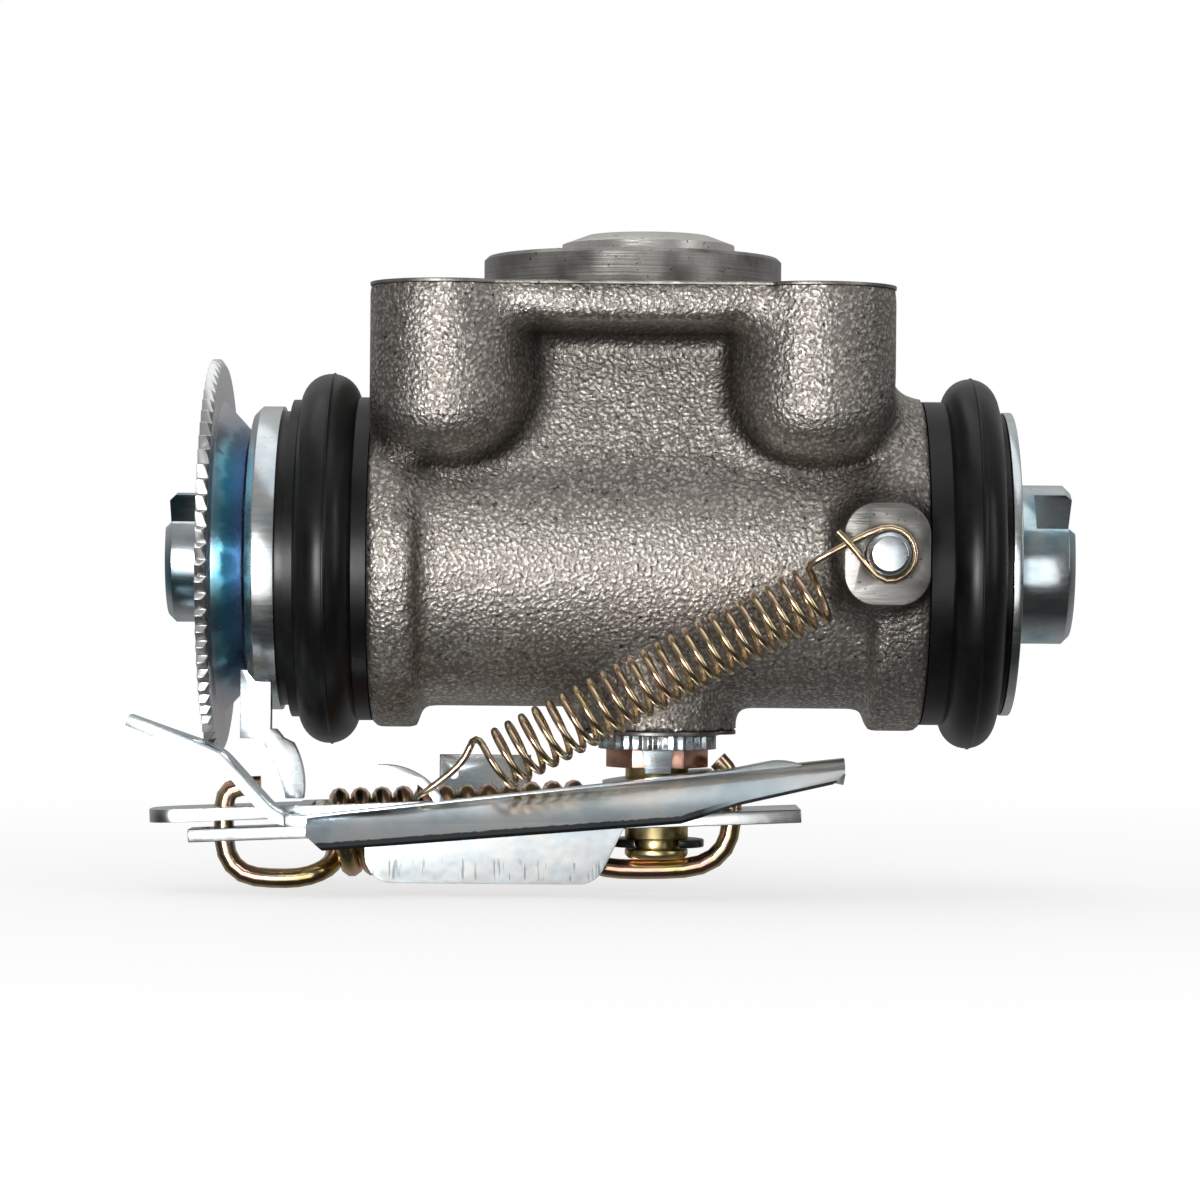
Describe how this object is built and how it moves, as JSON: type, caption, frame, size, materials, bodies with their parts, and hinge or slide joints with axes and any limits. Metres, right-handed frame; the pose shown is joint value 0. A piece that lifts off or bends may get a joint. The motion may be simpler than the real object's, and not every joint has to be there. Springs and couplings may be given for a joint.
{
  "type": "wheel cylinder",
  "caption": "Drum brake wheel cylinder with opposed pistons, rubber boots, slotted tappets and an automatic adjuster of toothed wheel, lever and springs.",
  "frame": {"origin": "centre of the pilot spigot's foot, on the mounting face", "axes": "+X along the bore towards the plain tappet, +Z out of the mounting face along the spigot, +Y away from the side with the lever spring"},
  "size_m": [0.1201, 0.0551, 0.0847],
  "materials": {
    "cast_iron": "rough",
    "rubber": "satin",
    "bright_zinc": "satin",
    "blue_zinc": "satin",
    "yellow_zinc": "satin",
    "machined_steel": "satin"
  },
  "bodies": {
    "housing": {"cylinder_body": "cast_iron", "anchor_pin": "bright_zinc", "pivot_stud": "yellow_zinc", "lock_washer": "bright_zinc", "retaining_clip": "yellow_zinc", "left_boot": "rubber", "right_boot": "rubber", "cup_spring": "machined_steel", "lever_spring": "yellow_zinc"},
    "left_piston": {"left_piston": "machined_steel", "left_cup": "rubber", "left_cup_expander": "machined_steel", "boot_retainer": "bright_zinc"},
    "adjuster_wheel": {"adjuster_wheel": "blue_zinc", "adjuster_sleeve": "machined_steel"},
    "adjuster_screw": {"adjuster_screw": "blue_zinc"},
    "right_piston": {"right_piston": "machined_steel", "right_cup": "rubber", "right_cup_expander": "machined_steel", "dust_plate": "bright_zinc"},
    "right_tappet": {"right_tappet": "blue_zinc"},
    "lever": {"adjuster_lever": "bright_zinc", "spring_carrier": "bright_zinc", "overload_spring": "yellow_zinc"},
    "link_plate": {"link_plate": "bright_zinc"}
  },
  "joints": [
    {"name": "left_piston_slide", "type": "slide", "parent": "housing", "child": "left_piston", "axis": [-1, 0, 0], "range_m": [0, 0.006], "deforming": ["left_boot", "cup_spring"]},
    {"name": "right_piston_slide", "type": "slide", "parent": "housing", "child": "right_piston", "axis": [1, 0, 0], "range_m": [0, 0.006], "deforming": ["right_boot", "cup_spring"]},
    {"name": "wheel_spin", "type": "hinge", "parent": "left_piston", "child": "adjuster_wheel", "pos_m": [-0.0535, 0, -0.0349], "axis": [1, 0, 0], "range_deg": [0, 1440]},
    {"name": "screw_slide", "type": "slide", "parent": "left_piston", "child": "adjuster_screw", "axis": [-1, 0, 0], "range_m": [0, 0.006]},
    {"name": "tappet_turn", "type": "hinge", "parent": "right_piston", "child": "right_tappet", "pos_m": [0.053, 0, -0.0349], "axis": [1, 0, 0], "continuous": true},
    {"name": "lever_swing", "type": "hinge", "parent": "housing", "child": "lever", "pos_m": [0.0036, -0.007, -0.063], "axis": [0, 0, 1], "range_deg": [0, 5], "stiffness_Nm_per_rad": 0.5, "springref_deg": -3.44, "deforming": ["lever_spring"]},
    {"name": "link_slide", "type": "slide", "parent": "lever", "child": "link_plate", "axis": [0.999, 0, 0.0436], "range_m": [0, 0.0015], "stiffness_N_per_m": 3000, "springref_m": -0.002, "deforming": ["overload_spring"]}
  ],
  "couplings": [
    {"joint": "screw_slide", "follows": "wheel_spin", "m_per_rad": 0.0002387}
  ]
}
